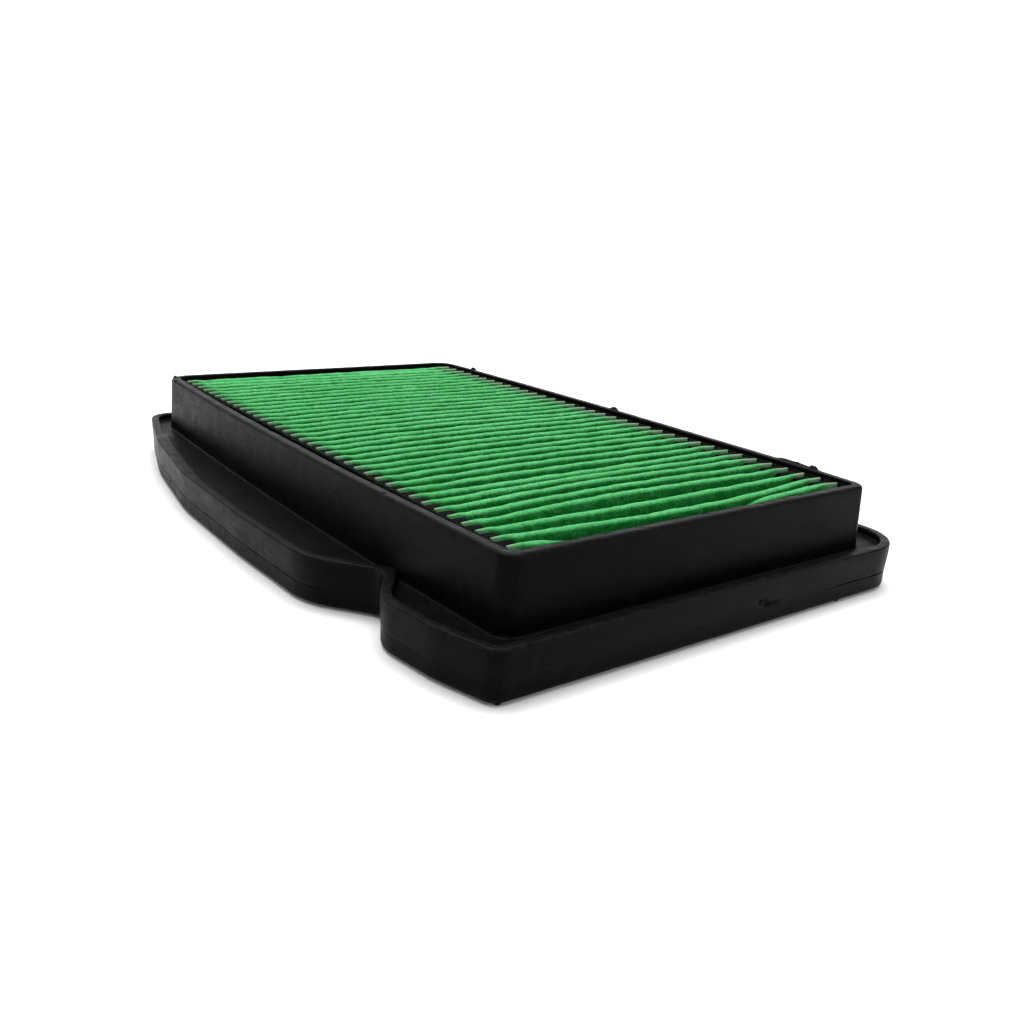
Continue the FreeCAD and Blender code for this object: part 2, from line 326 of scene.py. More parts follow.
def node(nt, kind, **values):
    n = nt.nodes.new(kind)
    for k, v in values.items():
        if k.startswith("_"):
            setattr(n, k[1:], v)
        else:
            n.inputs[k.replace("_", " ")].default_value = v
    return n


def noise(nt, coord, scale, detail=4.0, rough=0.55, distortion=0.0):
    n = node(nt, "ShaderNodeTexNoise", Scale=scale, Detail=detail, Roughness=rough, Distortion=distortion)
    nt.links.new(coord, n.inputs["Vector"])
    return n.outputs["Fac"]


def remap(nt, value, a, b, c, d):
    n = node(nt, "ShaderNodeMapRange", From_Min=a, From_Max=b, To_Min=c, To_Max=d)
    nt.links.new(value, n.inputs["Value"])
    return n.outputs["Result"]


def mix(nt, fac, a, b, blend="MIX"):
    n = nt.nodes.new("ShaderNodeMix")
    n.data_type, n.blend_type = "RGBA", blend
    for socket, value in ((n.inputs[0], fac), (n.inputs[6], a), (n.inputs[7], b)):
        if isinstance(value, (int, float, tuple)):
            socket.default_value = value
        else:
            nt.links.new(value, socket)
    return n.outputs[2]


def add(nt, a, b, op="ADD", clamp=False):
    n = nt.nodes.new("ShaderNodeMath")
    n.operation, n.use_clamp = op, clamp
    for socket, value in ((n.inputs[0], a), (n.inputs[1], b)):
        if isinstance(value, (int, float)):
            socket.default_value = value
        else:
            nt.links.new(value, socket)
    return n.outputs[0]


def bumps(nt, shader, pairs):
    """Chained bump nodes: (height, strength, distance in metres)."""
    last = None
    for height, strength, distance in pairs:
        b = node(nt, "ShaderNodeBump", Strength=strength, Distance=distance)
        nt.links.new(height, b.inputs["Height"])
        if last is not None:
            nt.links.new(last, b.inputs["Normal"])
        last = b.outputs["Normal"]
    nt.links.new(last, shader.inputs["Normal"])


def plastic(name, base, edge_wear_highlight_tone, rough, spec, grain=0.25, flow=0.5):
    """Moulded polypropylene: near black, satin, a fine spark-eroded grain, scuffed pale edges; the pale edge tone also
    paints highlight lines along rounded edges.
    """
    m, nt, sh = new_mat(name)
    co = nt.nodes.new("ShaderNodeTexCoord").outputs["Object"]
    wear = node(nt, "ShaderNodeAttribute", _attribute_name="wear").outputs["Fac"]
    big = noise(nt, co, 34, 3, 0.5)
    mid = noise(nt, co, 260, 4, 0.6)
    fine = noise(nt, co, 2600, 3, 0.6)
    scuff = noise(nt, co, 900, 5, 0.7, 0.6)
    stretch = node(nt, "ShaderNodeMapping", _vector_type="POINT")
    stretch.inputs["Scale"].default_value = (1.0, 1.0, 9.0)
    nt.links.new(co, stretch.inputs["Vector"])
    lines = noise(nt, stretch.outputs[0], 120, 4, 0.6)
    dust = remap(nt, mid, 0.56, 0.78, 0.0, 0.35)
    # pale edge tone: part real scuffing and dust, part painted highlight along rounded edges
    edge = add(nt, add(nt, wear, remap(nt, scuff, 0.35, 0.65, 0.15, 1.0), "MULTIPLY"), dust, "ADD", True)
    tone = mix(nt, remap(nt, big, 0.35, 0.65, 0, 1), base, tuple(c * 1.45 for c in base[:3]) + (1,))
    nt.links.new(mix(nt, edge, tone, edge_wear_highlight_tone), sh.inputs["Base Color"])
    r = add(nt, remap(nt, mid, 0.3, 0.7, rough - 0.06, rough + 0.07), remap(nt, lines, 0.35, 0.65, -0.03, 0.03))
    nt.links.new(add(nt, r, add(nt, wear, -0.05, "MULTIPLY")), sh.inputs["Roughness"])
    sh.inputs["Specular IOR Level"].default_value = spec
    bumps(nt, sh, [(fine, grain, 0.00006), (lines, flow * 0.5, 0.0001), (big, flow, 0.0006)])
    return m


def rubber():
    m, nt, sh = new_mat("gasket_foam_rubber")
    co = nt.nodes.new("ShaderNodeTexCoord").outputs["Object"]
    v = node(nt, "ShaderNodeTexVoronoi", Scale=1500.0)
    nt.links.new(co, v.inputs["Vector"])
    cells = v.outputs["Distance"]
    big = noise(nt, co, 90, 4, 0.6)
    nt.links.new(mix(nt, remap(nt, cells, 0.0, 0.6, 0, 1), (0.010, 0.010, 0.011, 1), (0.030, 0.030, 0.031, 1)), sh.inputs["Base Color"])
    nt.links.new(remap(nt, big, 0.3, 0.7, 0.78, 0.92), sh.inputs["Roughness"])
    sh.inputs["Specular IOR Level"].default_value = 0.35
    bumps(nt, sh, [(cells, 0.8, 0.0002), (big, 0.4, 0.0006)])
    return m


def sealant():
    m, nt, sh = new_mat("bonding_bead")
    co = nt.nodes.new("ShaderNodeTexCoord").outputs["Object"]
    a, b = noise(nt, co, 180, 3, 0.5, 0.8), noise(nt, co, 1100, 4, 0.6)
    nt.links.new(mix(nt, remap(nt, b, 0.4, 0.7, 0, 1), (0.003, 0.004, 0.004, 1), (0.010, 0.012, 0.011, 1)), sh.inputs["Base Color"])
    nt.links.new(remap(nt, a, 0.3, 0.7, 0.30, 0.55), sh.inputs["Roughness"])
    sh.inputs["Specular IOR Level"].default_value = 0.35
    bumps(nt, sh, [(b, 0.35, 0.0001), (a, 0.8, 0.0006)])
    return m


def media_mat():
    """Oil-wetted green nonwoven: paler crests as a painted highlight, darker green down the flanks and into the valleys
    as painted shade.
    """
    m, nt, sh = new_mat("green_nonwoven")
    co = nt.nodes.new("ShaderNodeTexCoord").outputs["Object"]
    top = node(nt, "ShaderNodeAttribute", _attribute_name="crest").outputs["Fac"]
    tip = node(nt, "ShaderNodeAttribute", _attribute_name="tip").outputs["Fac"]
    big = noise(nt, co, 60, 4, 0.6)
    blotch = noise(nt, co, 330, 5, 0.65, 0.4)
    grain = noise(nt, co, 1900, 4, 0.7)
    along = node(nt, "ShaderNodeMapping", _vector_type="POINT")
    along.inputs["Scale"].default_value = (0.35, 1.0, 1.0)
    nt.links.new(co, along.inputs["Vector"])
    fibre = noise(nt, along.outputs[0], 3600, 3, 0.6, 1.2)
    cells = node(nt, "ShaderNodeTexVoronoi", Scale=1300.0, _feature="F1")
    nt.links.new(co, cells.inputs["Vector"])
    t = add(nt, top, remap(nt, blotch, 0.3, 0.7, -0.16, 0.16))
    t = add(nt, t, remap(nt, grain, 0.3, 0.7, -0.14, 0.14), "ADD", True)
    # valley, flank and crest colours follow the crest attribute: painted shade down the pleats and a painted highlight
    # on the crests
    valley_shade_green, flank, crest_highlight_green = (0.0008, 0.052, 0.005, 1), (0.0015, 0.148, 0.016, 1), (0.090, 0.415, 0.142, 1)
    low = mix(nt, remap(nt, t, 0.0, 0.42, 0, 1), valley_shade_green, flank)
    col = mix(nt, remap(nt, t, 0.38, 0.92, 0, 1), low, crest_highlight_green)
    col = mix(nt, remap(nt, big, 0.35, 0.7, 0.0, 0.35), col, (0.014, 0.230, 0.045, 1))
    spot = remap(nt, fibre, 0.40, 0.62, 0.72, 1.22)
    cl = node(nt, "ShaderNodeCombineColor")
    for k in range(3):
        nt.links.new(spot, cl.inputs[k])
    col = mix(nt, 1.0, col, cl.outputs[0], "MULTIPLY")
    pale = add(nt, tip, remap(nt, blotch, 0.3, 0.7, 0.5, 1.1), "MULTIPLY", True)
    col = mix(nt, pale, col, (0.26, 0.30, 0.22, 1))
    nt.links.new(col, sh.inputs["Base Color"])
    nt.links.new(remap(nt, blotch, 0.3, 0.7, 0.62, 0.82), sh.inputs["Roughness"])
    sh.inputs["Specular IOR Level"].default_value = 0.05
    sh.inputs["Sheen Weight"].default_value = 0.02
    sh.inputs["Sheen Roughness"].default_value = 0.5
    sh.inputs["Sheen Tint"].default_value = (0.7, 1.0, 0.75, 1)
    bumps(nt, sh, [(fibre, 0.55, 0.00012), (cells.outputs["Distance"], 0.35, 0.00016), (grain, 0.6, 0.00025), (blotch, 0.5, 0.0006)])
    return m


M_FRAME = plastic("frame_black_plastic", (0.0009, 0.0010, 0.0012, 1), (0.0110, 0.0115, 0.0120, 1), 0.41, 0.038)
M_LOWER = plastic("lower_black_plastic", (0.0009, 0.0010, 0.0012, 1), (0.0105, 0.0110, 0.0115, 1), 0.42, 0.036)
# the comb is black plastic, made darker than the frame plastic as painted shade in the gap between the rim and the
# pleat ends
M_COMB = plastic("comb_black_plastic_painted_shade", (0.0002, 0.0004, 0.0003, 1), (0.0008, 0.0014, 0.0010, 1), 0.60, 0.012, 0.3, 0.3)
M_GRID = plastic("grid_black_plastic", (0.0040, 0.0043, 0.0047, 1), (0.020, 0.021, 0.022, 1), 0.46, 0.20, 0.35, 0.3)
M_GASKET, M_SEAL, M_MEDIA = rubber(), sealant(), media_mat()

# ---------------------------------------------------------------- upper frame
m = Mesh()
out_l, in_l = rounded(OUTLINE), rounded(INLINE)
n_out, n_in = normals_of(out_l), normals_of(in_l)


def arc_steps(r, k=4):
    return [(r * math.sin(a), r * (1 - math.cos(a))) for a in np.linspace(0, math.pi / 2, k + 1)]


# each ring's last number is its edge value for the pale edge tone, part scuffing and part painted highlight; it is
# strongest on the lip's top rounding
A = [m.ring(out_l - n_out * 0.26, Z_SEAM, 0.1), m.ring(out_l - n_out * 0.22, Z_SEAM + 0.06, 0.1), m.ring(out_l - n_out * 0.20, Z_SEAM + 0.2, 0.2)]
for z in np.arange(Z_SEAM + 0.5, Z_LIP - 0.9, 0.45):
    A.append(m.ring(out_l - n_out * 0.19 * (1 - float(smooth(Z_SEAM, 9.5, z))), z))
for up, back in arc_steps(0.55):
    A.append(m.ring(out_l - n_out * back, Z_LIP - 0.55 + up, 0.75 if up > 0.1 else 0.2))
m.stack(A)


def clear_of_box(pts, z, extra=0.0):
    return keep_out(pts, box_loop(DRAFT * (Z_RIM - z) + extra), 0.03)


B = []
for up, back in arc_steps(0.4)[::-1]:
    z = Z_LIP - 0.4 + up
    B.append(m.ring(clear_of_box(in_l + n_in * back, z), z, 0.6))
for z in (Z_LIP - 0.8, Z_FLOOR + 0.45):
    B.append(m.ring(clear_of_box(in_l, z), z))
for up, back in arc_steps(0.45)[1:]:
    z = Z_FLOOR + 0.45 - up
    B.append(m.ring(clear_of_box(in_l - n_in * back, z, 0.62 * min(1.0, back / 0.3)), z))
m.stack(B)
m.fill(A[-1], [B[0]])

g0 = DRAFT * (Z_RIM - Z_FLOOR)
# rings run from the tray floor up the wall
C_low = []
# the high edge value at the foot of the wall paints a highlight line along the tray floor junction
for a in np.linspace(0, math.pi / 2, 6):
    C_low.append(m.ring(box_loop(g0 + 0.55 * (1 - math.sin(a))), Z_FLOOR + 0.55 * (1 - math.cos(a)), 0.6 if a < 0.7 else 0.15))
walls = []
for z in np.linspace(Z_FLOOR + 1.1, Z_RIM - 1.35, 13):
    walls.append(m.ring(box_loop(DRAFT * (Z_RIM - z)), z))
rim_out = []
# the edge value grows towards the top of the rim's outer rounding: a painted highlight where the rounding faces the
# overhead light
for up, back in arc_steps(0.95, 7):
    rim_out.append(m.ring(box_loop(-back + DRAFT * (0.95 - up)), Z_RIM - 0.95 + up, 0.20 + 0.6 * up))
top = [m.ring(box_loop(-d), Z_RIM, 0.16) for d in np.arange(1.2, 2.15, 0.23)]
rim_in = []
for up, back in arc_steps(0.4, 3)[::-1]:
    rim_in.append(m.ring(box_loop(-(WALL_T - back)), Z_RIM - 0.4 + up, 0.08))
down = [m.ring(box_loop(-WALL_T), z) for z in (Z_RIM - 1.2, Z_RIM - 2.4, Z_RIM - 5, Z_RIM - 9, Z_RIM - 14, Z_SEAM)]
bottom = [m.ring(box_loop(DRAFT * (Z_RIM - Z_SEAM)), Z_SEAM), m.ring(box_loop(DRAFT * (Z_RIM - Z_SEAM)), Z_FLOOR - 2.2)]
m.stack(C_low + walls + rim_out + top + rim_in + down + bottom)
m.fill(B[-1], [C_low[0]])
U1 = m.ring(clear_of_box(in_l, Z_SEAM, 0.35), Z_FLOOR - 2.2)
U2 = m.ring(clear_of_box(in_l, Z_SEAM, 0.35), Z_SEAM)
m.quads(U1, U2)
m.fill(U1, [bottom[-1]])
m.fill(A[0], [U2])

NIBS = [(104.1, 169.0, 1.0, 1.5, 0.80), (105.6, 92.0, 1.1, 1.9, 0.80), (103.8, 15.0, 1.0, 1.7, 0.80),
        (104.4, 23.0, 0.8, 5.0, 0.42), (104.1, 18.5, 0.7, 3.0, 0.30), (-2.6, 184.5, 1.1, 1.1, 0.62)]
NICKS = [(-5.0, 178.2, 1.3, 1.2, 0.55), (-5.6, 183.0, 0.9, 0.8, 0.40), (-5.2, 42.0, 0.7, 0.8, 0.35),
         (-3.2, 104.0, 0.8, 2.6, 0.30), (20.0, -0.9, 0.6, 2.4, 0.12), (66.0, -1.0, 0.6, 3.0, 0.12)]


def shape_upper(co):
    used = np.zeros(len(co), bool)
    rim = co[:, 2] > Z_RIM - 0.6
    p = co[:, :2]
    lift = np.zeros(len(co))
    for x, y, sx, sy, h in NIBS:
        lift += h * np.clip(2.2 * bump_at(p, (x, y), (sx, sy)), 0, 1)
    for x, y, sx, sy, h in NICKS:
        lift -= h * np.clip(1.6 * bump_at(p, (x, y), (sx * 1.6, sy)), 0, 1)
    edge_noise = 0.030 * waves(p, (2.3, 5.0, 11.0), 5) - 0.03
    share = np.clip((co[:, 2] - (Z_RIM - 0.6)) / 0.5, 0, 1)
    co[:, 2] = np.where(rim, np.minimum(co[:, 2] + share * (lift + edge_noise), Z_TOP), co[:, 2])
    # slow sink and bow of thin moulded walls, never outwards past the CAD
    wall = (co[:, 2] > Z_FLOOR + 0.6) & (co[:, 2] < Z_RIM + 1) & inside(p, box_loop(2.0))
    cx, cy = 50.0, 93.5
    d = np.stack([np.where(p[:, 0] > cx, 1.0, -1.0), np.zeros(len(p))], 1)
    w = 0.10 * (waves(co, (26.0, 60.0), 9) - 0.9) * np.clip((co[:, 2] - Z_FLOOR - 0.6) / 3, 0, 1)
    side = (p[:, 0] < -1.0) | (p[:, 0] > 101.0)
    co[:, 0] += np.where(wall & side, d[:, 0] * w, 0)
    front = (p[:, 1] < 1.0) | (p[:, 1] > 186.0)
    co[:, 1] += np.where(wall & front & ~side, np.where(p[:, 1] > cy, 1, -1) * w, 0)
    # lip edge and tray floor: fine waviness and small ticks
    lipz = (co[:, 2] > Z_LIP - 0.6) & (co[:, 2] <= Z_LIP + 0.01)
    co[:, 2] -= np.where(lipz, 0.05 * (1 + waves(p, (4.0, 9.0, 23.0), 3)), 0)
    seam = (co[:, 2] < Z_SEAM + 0.25) & (co[:, 2] > Z_SEAM - 0.01) & ~inside(p, in_l)
    right_end = smooth(80.0, 96.0, p[:, 0])
    inward = 0.05 * np.clip(waves(p, (1.7, 3.1, 8.0), 8), 0, 1) + (0.30 * right_end + 0.16 * smooth(-14.0, -19.0, p[:, 0])) * (0.75 + 0.35 * waves(p, (2.3, 5.0), 18))
    c = p - np.array([cx, cy])
    c /= np.linalg.norm(c, axis=1)[:, None]
    co[:, 0] -= np.where(seam, c[:, 0] * inward, 0)
    co[:, 1] -= np.where(seam, c[:, 1] * inward, 0)
    # a torn chip in the flange's front wall, and a shallow dent beside it
    fw = (co[:, 1] < -5.0) & (co[:, 2] < Z_LIP - 0.4)
    for x, z, sx, sz, h in ((60.9, 6.1, 1.5, 1.1, 1.1), (62.9, 5.3, 2.0, 1.0, 1.0), (65.3, 5.2, 2.4, 0.6, 0.6), (1.5, 6.3, 3.5, 0.6, 0.16)):
        b = bump_at(np.stack([co[:, 0], co[:, 2]], 1), (x, z), (sx, sz))
        co[:, 1] += np.where(fw, h * b, 0)
    return co


def prune(mesh):
    """Drops rings that no face uses."""
    used = np.zeros(mesh.n, bool)
    for f in mesh.f:
        used[list(f)] = True
    new = np.cumsum(used) - 1
    co, ed = np.concatenate(mesh.v), np.concatenate(mesh.edge)
    mesh.v, mesh.edge, mesh.n = [co[used]], [ed[used]], int(used.sum())
    mesh.f = [tuple(int(new[i]) for i in f) for f in mesh.f]


prune(m)
upper = place(m.build("upper_frame_shell", shape_upper), "upper_frame", M_FRAME)

# ---------------------------------------------------------------- lower frame
m = Mesh()
low_l = rounded(moved_in(OUTLINE, 0.25))
n_low = normals_of(low_l)
Z_PLATE = Z_SKIRT + 2.2
ch_l = rounded(moved_in(OUTLINE, 2.55))
n_ch = normals_of(ch_l)
rect = lambda x0, x1, y0, y1, r: rounded([(x0, y0, r), (x1, y0, r), (x1, y1, r), (x0, y1, r)])
ringl, winl = rect(-1, 101, 2, 185, 6), rect(1, 99, 4, 183, 4)
n_rg, n_wn = normals_of(ringl), normals_of(winl)
L = [m.ring(low_l - n_low * 0.05, Z_SEAM), m.ring(low_l - n_low * 0.01, Z_SEAM - 0.06, 0.1), m.ring(low_l, Z_SEAM - 0.18, 0.2)]
for z in np.arange(Z_SEAM - 0.7, Z_SKIRT + 0.8, -0.5):
    L.append(m.ring(low_l, z))
for up, back in arc_steps(0.5):
    L.append(m.ring(low_l - n_low * back, Z_SKIRT + 0.5 - up, 0.7))
m.stack(L)
K = [m.ring(ch_l + n_ch * b, Z_SKIRT + 0.25 - u, 0.5) for u, b in arc_steps(0.25, 3)[::-1]]
K += [m.ring(ch_l, Z_SKIRT + 1.2), m.ring(ch_l, Z_PLATE)]
m.stack(K)
ca = np.linspace(0, 2 * math.pi, 25)[:-1]
circ = np.stack([np.cos(ca), np.sin(ca)], 1)
front_feet = []
for fx, fy in [(-8.2, -5.95), (90.5, -6.05)]:
    c = np.array([fx, fy])
    rg = [m.ring(c + circ * 0.78, Z_SKIRT), m.ring(c + circ * 0.74, Z_SKIRT - 0.08), m.ring(c + circ * 0.72, Z_FOOT + 0.25, 0.4)]
    rg += [m.ring(c + circ * (0.72 - b), Z_FOOT + 0.25 - u, 0.7) for u, b in arc_steps(0.25, 3)[1:]]
    m.stack(rg)
    m.cap(rg[-1])
    front_feet.append(rg[0])
m.fill(L[-1], [K[0], *front_feet])
R = [m.ring(ringl, Z_PLATE), m.ring(ringl, Z_SKIRT + 1.2)] + [m.ring(ringl - n_rg * b, Z_SKIRT + 0.25 - u, 0.5) for u, b in arc_steps(0.25, 3)]
m.stack(R)
W = [m.ring(winl + n_wn * b, Z_SKIRT + 0.25 - u, 0.5) for u, b in arc_steps(0.25, 3)[::-1]]
W += [m.ring(winl, Z_SKIRT + 1.5), m.ring(winl, Z_SEAM - 0.3), m.ring(winl + n_wn * 0.2, Z_SEAM)]
m.stack(W)
m.fill(R[-1], [W[0]])
m.fill(L[0], [W[-1]])
FEET = [(109.0, 187.0), (-5.6, 190.6)]
holes = []
for fx, fy in FEET:
    c = np.array([fx, fy])
    rg = [m.ring(c + circ * 1.25, Z_PLATE), m.ring(c + circ * 1.1, Z_PLATE - 0.2), m.ring(c + circ * 1.1, Z_FOOT + 0.4, 0.4)]
    rg += [m.ring(c + circ * (1.1 - b), Z_FOOT + 0.4 - u, 0.7) for u, b in arc_steps(0.4, 3)[1:]]
    m.stack(rg)
    m.cap(rg[-1])
    holes.append(rg[0])
m.fill(K[-1], [R[0], *holes])


def shape_lower(co):
    p = co[:, :2]
    outer = ~inside(p, ch_l)
    c = p - np.array([50.0, 93.5])
    c /= np.linalg.norm(c, axis=1)[:, None]
    w = np.where(outer, 0.05 * np.clip(waves(co, (3.0, 7.0, 19.0), 21) + 0.2, 0, 1), 0)
    co[:, 0] -= c[:, 0] * w
    co[:, 1] -= c[:, 1] * w
    low = co[:, 2] < Z_SKIRT + 0.3
    foot = co[:, 2] < Z_SKIRT - 0.01
    co[:, 2] += np.where(low & ~foot, 0.04 * (1 + waves(p, (5.0, 13.0), 22)), 0)
    return co


prune(m)
lower = place(m.build("lower_frame_shell", shape_lower), "lower_frame", M_LOWER)

# ---------------------------------------------------------------- gasket
m = Mesh()
g_out = rounded(moved_in(OUTLINE, 2.85))
g_in = rect(-1.3, 101.3, 1.7, 185.3, 6.3)
n_go, n_gi = normals_of(g_out), normals_of(g_in)
zt, zb = GAS[1].z, GAS[0].z
G = [m.ring(g_out - n_go * 0.1, zt - 0.02), m.ring(g_out, zt - 0.2)] + [m.ring(g_out - n_go * b * 1.4, zb + 0.7 - u) for u, b in arc_steps(0.7, 4)]
m.stack(G)
H = [m.ring(g_in + n_gi * b * 1.4, zb + 0.7 - u) for u, b in arc_steps(0.7, 4)[::-1]] + [m.ring(g_in, zt - 0.2), m.ring(g_in + n_gi * 0.1, zt - 0.02)]
m.stack(H)
hb, ht = [], []
for fx, fy in FEET:
    c = np.array([fx, fy])
    rg = m.stack([m.ring(c + circ * 2.0, zb), m.ring(c + circ * 1.7, zb + 0.25), m.ring(c + circ * 1.6, zt - 0.3), m.ring(c + circ * 1.65, zt - 0.02)])
    hb.append(rg[0])
    ht.append(rg[-1])
m.fill(G[-1], [H[0], *hb])
m.fill(G[0], [H[-1], *ht])
prune(m)


def shape_gasket(co):
    low = co[:, 2] < zb + 0.4
    co[:, 2] += np.where(low, 0.02 * (1 + waves(co[:, :2], (9.0, 23.0), 31)), 0)
    return co


gasket = place(m.build("gasket_bead", shape_gasket), "perimeter_gasket", M_GASKET)

# ---------------------------------------------------------------- support grid: the CAD piece with moulded edges
grid = frame["nodes"]["support_grid"]
grid.data.materials.clear()
grid.data.materials.append(M_GRID)
w = grid.modifiers.new("weld", "WELD")
w.merge_threshold = 1e-6
w = grid.modifiers.new("planar", "DECIMATE")
w.decimate_type, w.angle_limit = "DISSOLVE", math.radians(1.0)
w = grid.modifiers.new("edges", "BEVEL")
w.width, w.segments, w.limit_method, w.angle_limit = 0.0003, 3, "ANGLE", math.radians(35)
w = grid.modifiers.new("weighted", "WEIGHTED_NORMAL")
w.keep_sharp = False
for p in grid.data.polygons:
    p.use_smooth = True


# ---------------------------------------------------------------- pleat lines
PITCH, N_PLEATS = 5.0, 36
MID = {1: -1.6, 2: -2.6, 3: -0.6, 4: 2.3, 5: 2.3, 6: 2.6, 7: 1.8, 8: 0.3, 9: 1.3, 10: 2.0, 11: 2.2, 12: 2.3, 13: 1.6,
       14: 2.2, 15: 1.8, 16: 2.1, 17: 2.5, 18: 1.7, 19: 2.4, 20: 1.9, 21: 2.2, 22: 1.6, 23: 2.0, 24: 1.7, 25: 1.9,
       26: 1.4, 27: 1.7, 28: 1.2, 29: 1.5, 30: 1.0, 31: 1.2, 32: 0.8, 33: 0.9, 34: 0.3, 35: -1.2, 36: -1.4}
RIGHT = {1: 1.2, 2: 0.3, 3: -0.1, 4: 0.6, 5: 1.0, 6: 1.4, 7: 0.9, 8: 0.9, 9: 0.9, 10: 0.9, 19: 0.35}


def crest_dev(i, x):
    """How far pleat i's crest stands back from its even place at x, in mm."""
    mid = MID[i]
    right = RIGHT.get(i, 1.4 if i < 19 else max(0.0, 0.6 - 0.04 * (i - 19)))
    xs = [0, 3, 14, 28, 47, 66, 82, 93, 100]
    ys = [0, 0.02 * mid, 0.34 * mid, 0.74 * mid, mid, 0.62 * mid + 0.38 * right, 0.2 * mid + 0.8 * right, right, 0.15 * right]
    if i == 1:
        xs, ys = [0, 5, 14, 30, 47, 60, 72, 84, 93, 100], [0, -0.1, -0.9, -1.8, -2.0, -1.7, -0.6, 0.6, 1.0, 0.2]
    if i == 2:
        xs, ys = [0, 5, 14, 30, 47, 60, 72, 84, 93, 100], [0, -0.1, -0.8, -2.0, -2.6, -2.7, -2.0, -0.6, 0.3, 0.1]
    xs, ys = np.array(xs, float), np.array(ys)
    j = np.clip(np.searchsorted(xs, x) - 1, 0, len(xs) - 2)
    m_ = np.gradient(ys, xs)
    h = xs[j + 1] - xs[j]
    t = (x - xs[j]) / h
    return ((2 * t**3 - 3 * t**2 + 1) * ys[j] + (t**3 - 2 * t**2 + t) * h * m_[j]
            + (-2 * t**3 + 3 * t**2) * ys[j + 1] + (t**3 - t**2) * h * m_[j + 1])


def wig(seed, x, lengths, amp):
    g = np.random.default_rng(seed)
    return amp * sum(np.sin(x * 2 * math.pi / l + g.uniform(0, 6.28)) * g.uniform(0.5, 1) for l in lengths) / len(lengths) ** 0.5


# ---------------------------------------------------------------- pleated media
NX = 230
X = np.concatenate([np.linspace(0, 8, 20)[:-1], np.linspace(8, 92, NX - 38), np.linspace(92, 100, 20)[1:]])
HT = 0.4
ends = 1 - smooth(2.6, 5.8, X) + smooth(91.0, 95.5, X)       # 1 in the teeth, 0 between
taper = 1 - smooth(0.0, 3.0, X) + smooth(95.5, 100.0, X)     # the ends thin out to points
Yc, Zc, Rc = [], [], []
for i in range(1, N_PLEATS + 1):
    free = 1 - ends
    yc = 5.0 * i + crest_dev(i, X) + free * (wig(100 + i, X, (11.0, 21.0, 37.0), 0.13))
    zc = Z_CREST - HT + 0.17 * ends - 0.04 - 0.16 * free * (1 + wig(200 + i, X, (13.0, 24.0, 47.0), 0.5))
    rc = 0.26 - 0.10 * taper + 0.34 * free + free * wig(300 + i, X, (9.0, 19.0, 37.0), 0.07)
    if i == 1:
        zc -= 1.0 * smooth(5, 16, X) * (1 - smooth(60, 74, X))
    if i == 35:
        yc = 5.0 * i + free * (0.1 + 0.3 * wig(135, X, (14.0, 33.0), 1.0))
        rc = rc + 0.60 * free
    if i == 36:
        yc = 5.0 * i + 0.55 * free + free * 0.18 * wig(136, X, (12.0, 29.0), 1.0)
        rc = rc + 0.85 * free
        zc = zc - 0.15 * free
    Yc.append(yc)
    Zc.append(zc)
    Rc.append(np.maximum(rc, 0.15))
Yr, Zr, Rr = [], [], []
for i in range(0, N_PLEATS + 1):
    if i == 0:
        yr = np.full_like(X, 2.5)
    elif i == N_PLEATS:
        yr = np.full_like(X, 182.5)
    else:
        yr = 5.0 * i + 2.5 + 0 * X
        yr = yr + 0.5 * ((Yc[i - 1] - 5.0 * i) + (Yc[i] - 5.0 * (i + 1)))
    zr = np.full_like(X, Z_ROOT + HT)
    if i == 35:
        zr = zr + (Z_CREST - 1.3 - Z_ROOT - HT) * smooth(44, 62, X) * (1 - smooth(90, 95, X))
    if i == 34:
        zr = zr + 9.0 * smooth(50, 70, X) * (1 - smooth(90, 95, X))
    Yr.append(yr)
    Zr.append(zr)
    Rr.append(np.full_like(X, 0.45))
rows, kinds = [], []
for i in range(N_PLEATS):
    # up the front flank from the root, round the crest, down the back flank, round the root
    yc, zc, rc = Yc[i], Zc[i], Rc[i]
    c0 = zc - rc
    y0, z0 = Yr[i] + (Rr[i] if i else 0), Zr[i] + (Rr[i] if i else 0)
    y1, z1 = Yr[i + 1] - (Rr[i + 1] if i < N_PLEATS - 1 else 0), Zr[i + 1] + (Rr[i + 1] if i < N_PLEATS - 1 else 0)
    ts = np.array([0, 0.2, 0.4, 0.6, 0.74, 0.85, 0.93])
    for t in ts:
        bulge = 0.10 * math.sin(math.pi * t)
        rows.append((y0 + (yc - rc - y0) * t - bulge * 0, z0 + (c0 - z0) * t))
        kinds.append(t)
    for a in np.linspace(math.pi, 0, 11):
        rows.append((yc + rc * math.cos(a), c0 + rc * math.sin(a)))
        kinds.append(1.0)
    for t in ts[::-1]:
        rows.append((y1 + (yc + rc - y1) * t, z1 + (c0 - z1) * t))
        kinds.append(t)
    if i < N_PLEATS - 1:
        for a in np.linspace(math.pi, 2 * math.pi, 6)[1:-1]:
            rows.append((Yr[i + 1] + Rr[i + 1] * math.cos(a), Zr[i + 1] + Rr[i + 1] + Rr[i + 1] * math.sin(a)))
            kinds.append(0.0)
Yg = np.array([r[0] for r in rows])
Zg = np.array([r[1] for r in rows])
NR = len(rows)
P3 = np.stack([np.broadcast_to(X, Yg.shape), Yg, Zg], 2)
